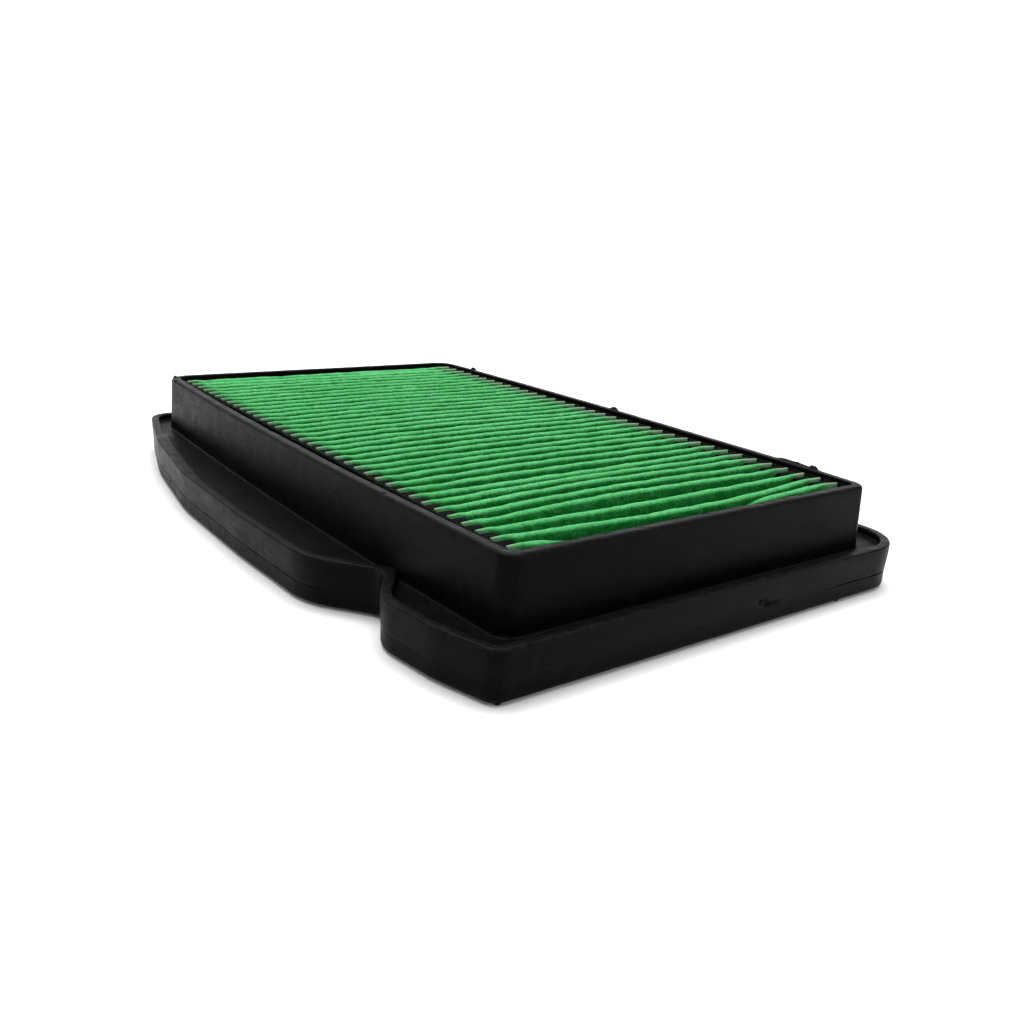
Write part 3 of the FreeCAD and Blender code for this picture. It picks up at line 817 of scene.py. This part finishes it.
# real unevenness of the sheet: soft creases and lumps, fading out in the teeth and low down
flat_p = P3.reshape(-1, 3)
crease = waves(flat_p * np.array([1.0, 1.4, 0.7]), (3.2, 6.5, 14.0), 41).reshape(NR, -1)
fuzz = waves(flat_p * np.array([1.0, 1.2, 1.2]), (1.3, 1.9), 42).reshape(NR, -1)
du = np.gradient(P3, axis=0)
dv = np.gradient(P3, axis=1)
nrm = np.cross(dv, du)
nrm /= np.maximum(np.linalg.norm(nrm, axis=2), 1e-9)[:, :, None]
nrm *= np.where(nrm[NR // 2 * 0 + 12, :, 2].mean() > 0, 1, -1)
amp = (1 - 0.85 * ends)[None, :] * (0.35 + 0.65 * smooth(12, 24, Zg))
off = amp * (0.055 * crease + 0.030 * fuzz)
P3 = P3 + nrm * off[:, :, None]
half = (HT - 0.17 * ends - 0.10 * taper)[None, :, None]
top_s = P3 + nrm * half
bot_s = P3 - nrm * half
top_s[:, :, 2] = np.clip(top_s[:, :, 2], Z_ROOT, Z_CREST)
bot_s[:, :, 2] = np.clip(bot_s[:, :, 2], Z_ROOT, Z_CREST)
nx = len(X)
co = np.concatenate([top_s.reshape(-1, 3), bot_s.reshape(-1, 3)])
base = NR * nx
I, J = np.meshgrid(np.arange(NR - 1), np.arange(nx - 1), indexing="ij")
q = (I * nx + J).ravel()
faces = np.concatenate([np.stack([q, q + 1, q + nx + 1, q + nx], 1),
                        np.stack([q + base, q + base + nx, q + base + nx + 1, q + base + 1], 1)])
side = []
for i in range(NR - 1):
    for j in (0, nx - 1):
        a, b = i * nx + j, (i + 1) * nx + j
        side.append((a, b, b + base, a + base))
for j in range(nx - 1):
    for i in (0, NR - 1):
        a, b = i * nx + j, i * nx + j + 1
        side.append((a, b, b + base, a + base))
me = bpy.data.meshes.new("pleated_media_sheet")
co = co + np.array([OX, OY, 0.0])
allf = np.concatenate([faces, np.array(side)])
me.vertices.add(len(co))
me.vertices.foreach_set("co", (co / 1000).astype(np.float32).ravel())
me.loops.add(allf.size)
me.loops.foreach_set("vertex_index", allf.astype(np.int32).ravel())
me.polygons.add(len(allf))
me.polygons.foreach_set("loop_start", np.arange(0, allf.size, 4, dtype=np.int32))
me.polygons.foreach_set("loop_total", np.full(len(allf), 4, np.int32))
me.update(calc_edges=True)
me.validate()
# crest attribute: 1 at the crest tops and falling with depth below them; it paints a highlight on the crests and shade
# down into the valleys
crest = np.zeros((NR, nx))
dep = Z_CREST - top_s[:, :, 2]
crest[:] = 0.42 * (1 - smooth(1.2, 7.0, dep)) + 0.58 * (1 - smooth(0.18, 1.05, dep))
tipv = np.zeros((NR, nx)) + 0.75 * ((1 - smooth(0.3, 3.2, X)) + smooth(94.6, 98.0, X))[None, :] * np.clip((top_s[:, :, 2] - 24.0) / 0.7, 0, 1)
for nm, arr in (("crest", crest), ("tip", tipv)):
    at = me.attributes.new(nm, "FLOAT", "POINT")
    at.data.foreach_set("value", np.concatenate([arr.ravel(), arr.ravel()]).astype(np.float32))
media = bpy.data.objects.new("pleated_media_sheet", me)
bpy.context.scene.collection.objects.link(media)
tidy(media, 1e-8, hard=False)
place(media, "pleated_media", M_MEDIA)


# ---------------------------------------------------------------- combs at the pleat ends
def comb(name, node_name, sign):
    """sign -1 for the left comb, 1 for the right one. One closed moulding: a strip with tapered teeth."""
    m = Mesh()
    xf = 0.05 if sign < 0 else 99.95          # face of the strip is just outside this
    xs = -0.05 if sign < 0 else 100.05
    xb = -1.35 if sign < 0 else 101.35
    y0, y1 = COM[0].y - OY, COM[1].y - OY
    z0, z1 = COM[0].z, COM[1].z
    g = np.random.default_rng(51 if sign < 0 else 52)
    length = (3.7 if sign < 0 else 6.5) + g.uniform(-0.35, 0.0, N_PLEATS - 1)
    tall = g.uniform(-0.25, 0.05, N_PLEATS - 1)
    zs = [z0, 10.6, 11.0, 14.0, 18.0, 21.0, 23.0, z1 - 0.85, z1 - 0.5, z1 - 0.3, z1 - 0.25]
    rings = []
    for k, z in enumerate(zs):
        pts = []
        if k <= 1:
            out = 0.12
        else:
            out = 1.0
        rnd = 0.0 if k < 7 else (0.04, 0.12, 0.26, 0.42)[k - 7]
        a = 0.6 + 1.3 * (min(max(z, 10.0), z1 - 0.25) - 6.6) / 18.2 - 0.404 - 0.14
        for i in range(N_PLEATS - 1):
            yc = 5.0 + (i + 0.5) * PITCH
            lt = length[i] * out
            for u, s in ((0.0, -1), (0.35, -1), (0.7, -1), (0.93, -0.92), (1.0, -0.55), (1.0, 0.55), (0.93, 0.92), (0.7, 1), (0.35, 1), (0.0, 1)):
                x = xs - sign * (lt - rnd * 0.8) * u
                dev = 0.5 * (crest_dev(i + 1, np.array([x]))[0] + crest_dev(i + 2, np.array([x]))[0]) if 0 < u else 0.0
                pts.append((x, yc + max(0.08, a - rnd) * s * (1 - 0.06 * u) + 0.8 * dev * u))
        pts = [(xs, y0)] + pts + [(xs, y1), (xb, y1), (xb, y0)]
        rings.append(m.ring(np.array(pts), z, 0.1 if k > 6 else 0.02))
    m.stack(rings)
    m.fill(rings[0])
    # the strip carries on a little above the teeth
    last = np.concatenate(m.v)[rings[-1]]
    m.fill(rings[-1])
    prune(m)
    ob = m.build(name)
    # the strip's own raised back, as a bevelled rib standing in the strip
    s = Mesh()
    x_a, x_b = min(xs, xb), max(xs, xb)
    yy = np.linspace(y0 + 0.2, y1 - 0.2, 240)
    prof = [(x_a + 0.06, 23.0), (x_b - 0.06, 23.0), (x_b - 0.06, z1 - 0.25), (x_b - 0.3, z1 + 0.02), (x_a + 0.3, z1 + 0.02), (x_a + 0.06, z1 - 0.25)]
    rr = []
    for y in yy:
        dz = 0.10 * math.sin(y * 1.7) * math.sin(y * 0.31)
        p = np.array([(px, y) for px, _ in prof])
        rr.append(s.ring(p, [pz if pz < 23.5 else pz - 0.12 + dz for _, pz in prof], 0.1))
    for a_, b_ in zip(rr, rr[1:]):
        s.quads(a_, b_)
    s.cap(rr[0])
    s.cap(rr[-1])
    rib = s.build(name + "_back")
    for o in bpy.context.scene.objects:
        o.select_set(o in (ob, rib))
    bpy.context.view_layer.objects.active = ob
    bpy.ops.object.join()
    ob.select_set(False)
    return place(ob, node_name, M_COMB)


comb("comb_left_moulding", "left_comb", -1)
comb("comb_right_moulding", "right_comb", 1)


# ---------------------------------------------------------------- bonding beads
def bead(name, node_name, section, stations, axis, lump, seed):
    """A bead laid along an axis: section(s) gives the closed outline at each station."""
    m = Mesh()
    rings = []
    for s in stations:
        pts = section(s)
        if axis == "y":
            rings.append(m.ring(np.array([(u, s) for u, _ in pts]), [w for _, w in pts]))
        else:
            rings.append(m.ring(np.array([(s, u) for u, _ in pts]), [w for _, w in pts]))
    for a, b in zip(rings, rings[1:]):
        m.quads(a, b)
    m.cap(rings[0])
    m.cap(rings[-1])

    def shape(co):
        hi_z = co[:, 2].max()
        up = np.clip((co[:, 2] - (hi_z - 1.0)) / 1.0, 0, 1)
        co[:, 2] -= up * lump * (0.8 + 0.8 * waves(co[:, :2], (2.6, 5.5, 12.0), seed))
        return co
    return place(m.build(name, shape), node_name, M_SEAL)


def wall_x(y, sign):
    t = (y - 93.5) / 91.0
    return 101.7 + 2.0 * max(0.0, 1 - t * t) if sign > 0 else -1.7 - 2.0 * max(0.0, 1 - t * t)


zt, zb = SEA[1].z, SEA[0].z
for sign, nm in ((-1, "left"), (1, "right")):
    def sec(y, sign=sign):
        a, b = (101.37, wall_x(y, 1) - 0.03) if sign > 0 else (wall_x(y, -1) + 0.03, -1.37)
        b = max(b, a + 0.2)
        mid = 0.5 * (a + b)
        return [(a, zb), (b, zb), (b, zt - 0.5), (b - 0.1 * (b - a), zt - 0.12), (mid, zt - 0.3), (a + 0.1 * (b - a), zt - 0.12), (a, zt - 0.5)]
    y0, y1 = SEA[0].y - OY, SEA[1].y - OY
    bead("bead_%s_edge" % nm, "%s_edge_seal" % nm, sec, np.linspace(y0, y1, 260), "y", 0.22, 61 if sign > 0 else 62)
FES, BES = [[v * 1000 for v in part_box(n)] for n in ("front_end_seal", "back_end_seal")]
fy0, fy1, fz0, fz1 = FES[0].y - OY, FES[1].y - OY, FES[0].z, FES[1].z
by0, by1, bz0, bz1 = BES[0].y - OY, BES[1].y - OY, BES[0].z, BES[1].z
slope = (2.5 - 0.6) / (Z_CREST - Z_ROOT - 0.8)
fsec = lambda s: [(fy0 + 0.02, fz0), (1.9, fz0), (min(fy1, 1.9 + (fz1 - 6.6) * slope) - 0.1, fz1 - 0.5), (0.5 * (fy0 + fy1) + 0.2, fz1 - 0.25), (fy0 + 0.02, fz1 - 0.3)]
bsec = lambda s: [(by1 - 0.02, bz0), (183.1, bz0), (by0 + 0.15, bz1 - 0.4), (0.5 * (by0 + by1), bz1 - 0.5), (by1 - 0.02, bz1 - 2.0)]
bead("bead_front_end", "front_end_seal", fsec, np.linspace(FES[0].x - OX + 0.05, FES[1].x - OX - 0.05, 120), "x", 0.25, 63)
bead("bead_back_end", "back_end_seal", bsec, np.linspace(BES[0].x - OX + 0.05, BES[1].x - OX - 0.05, 120), "x", 0.3, 64)

# ---------------------------------------------------------------- studio
def studio_floor():
    bm = bmesh.new()
    prof = [(-3.0, 0.0), (0.9, 0.0)]
    for a in np.linspace(0, math.pi / 2, 18)[1:]:
        prof.append((0.9 + 0.7 * math.sin(a), 0.7 * (1 - math.cos(a))))
    prof.append((1.6, 3.2))
    fwd = Vector((0.6105, 0.7920, 0.0))
    rt = Vector((0.7920, -0.6105, 0.0))
    cols = []
    for s in np.linspace(-3.2, 3.2, 17):
        cols.append([bm.verts.new(fwd * d + rt * s + Vector((0, 0, z - 0.00002))) for d, z in prof])
    for a, b in zip(cols, cols[1:]):
        for k in range(len(prof) - 1):
            bm.faces.new((a[k], b[k], b[k + 1], a[k + 1]))
    me = bpy.data.meshes.new("studio_sweep")
    bm.to_mesh(me)
    bm.free()
    ob = bpy.data.objects.new("studio_sweep", me)
    bpy.context.scene.collection.objects.link(ob)
    for p in me.polygons:
        p.use_smooth = True
    mt, nt, sh = new_mat("pale_paper")
    co = nt.nodes.new("ShaderNodeTexCoord").outputs["Object"]
    n = noise(nt, co, 3.0, 3)
    nt.links.new(mix(nt, n, (0.90, 0.90, 0.90, 1), (0.93, 0.93, 0.93, 1)), sh.inputs["Base Color"])
    sh.inputs["Roughness"].default_value = 0.9
    sh.inputs["Specular IOR Level"].default_value = 0.1
    me.materials.append(mt)
    return ob


floor = studio_floor()

world = bpy.data.worlds.new("studio")
bpy.context.scene.world = world
world.use_nodes = True
bg = world.node_tree.nodes["Background"]
bg.inputs[0].default_value = (0.96, 0.98, 1.0, 1)
bg.inputs[1].default_value = 0.56


def area(name, loc, target, size, size_y, power, colour=(1, 1, 1)):
    d = bpy.data.lights.new(name, "AREA")
    d.shape, d.size, d.size_y, d.energy, d.color = "RECTANGLE", size, size_y, power, colour
    o = bpy.data.objects.new(name, d)
    bpy.context.scene.collection.objects.link(o)
    o.location = loc
    o.rotation_euler = (Vector(target) - Vector(loc)).to_track_quat("-Z", "Y").to_euler()
    return o


area("overhead_softbox", (0.05, 0.18, 0.95), (0, 0.02, 0), 0.95, 0.95, 9.2)
area("back_left_softbox", (-0.75, 0.75, 0.45), (0, 0, 0.0), 0.6, 0.5, 0.6)
area("front_fill", (0.45, -1.05, 0.50), (0, 0, 0), 0.7, 0.5, 1.9)
area("backdrop_wash", (0.35, 0.30, 1.7), (0.95, 1.25, 0.45), 1.6, 0.9, 26.0)

# ---------------------------------------------------------------- camera
cam_d = bpy.data.cameras.new("camera")
cam = bpy.data.objects.new("camera", cam_d)
bpy.context.scene.collection.objects.link(cam)
yaw, pitch, roll = -0.6540, 0.3164, 0.0621
fw = Vector((-math.sin(yaw) * math.cos(pitch), math.cos(yaw) * math.cos(pitch), -math.sin(pitch)))
ri = Vector((math.cos(yaw), math.sin(yaw), 0))
up_ = ri.cross(fw)
r_ = ri * math.cos(roll) + up_ * math.sin(roll)
u_ = -ri * math.sin(roll) + up_ * math.cos(roll)
rot = Matrix((r_, u_, -fw)).transposed()
cam.matrix_world = Matrix.Translation(Vector(((-99.5174 + OX) / 1000, (-126.1338 + OY) / 1000, (58.5006 + Z_CREST) / 1000))) @ rot.to_4x4()
cam_d.sensor_width, cam_d.lens = 36.0, 36.0 * 952.68 / 1024
cam_d.shift_x, cam_d.shift_y = -0.0002, 0.0093
cam_d.clip_start, cam_d.clip_end = 0.01, 50
bpy.context.scene.camera = cam
bpy.context.scene.view_settings.view_transform = "Standard"
bpy.context.scene.view_settings.look = "None"
bpy.context.scene.view_settings.exposure = 0.0
